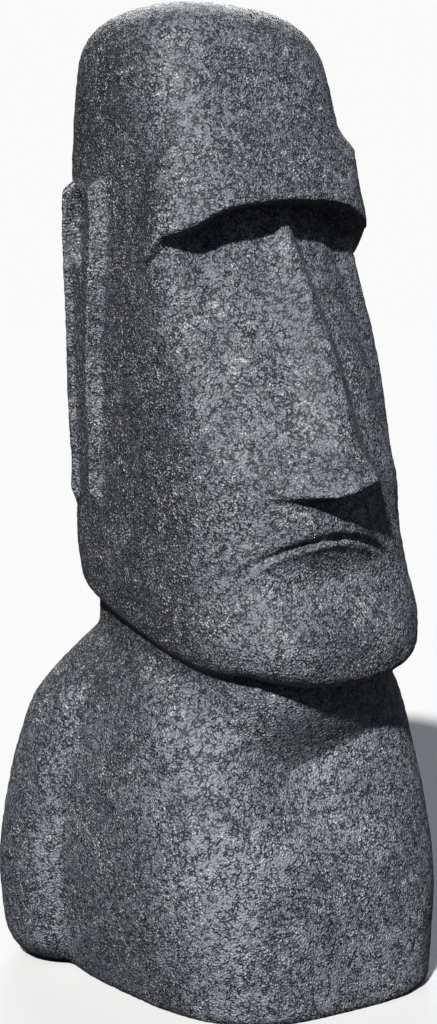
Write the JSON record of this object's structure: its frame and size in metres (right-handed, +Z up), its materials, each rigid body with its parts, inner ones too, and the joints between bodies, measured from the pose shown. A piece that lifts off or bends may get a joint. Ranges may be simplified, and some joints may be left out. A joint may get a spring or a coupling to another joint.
{
  "type": "moai statue",
  "caption": "Tall stone moai head with a heavy brow, long nose and long ears, on a neck, chest and arms cast in one, standing on a flat underside.",
  "frame": {"origin": "middle of the footprint, on the flat underside", "axes": "+Z up to the crown, the face looks along -Y, the statue's own left is +X"},
  "size_m": [0.3938, 0.4388, 1],
  "materials": {
    "dark_stone": "pebbled dark grey cast stone with a satin seal and light grey flecks"
  },
  "bodies": {
    "root": {"moai_statue": "dark_stone"}
  },
  "joints": []
}
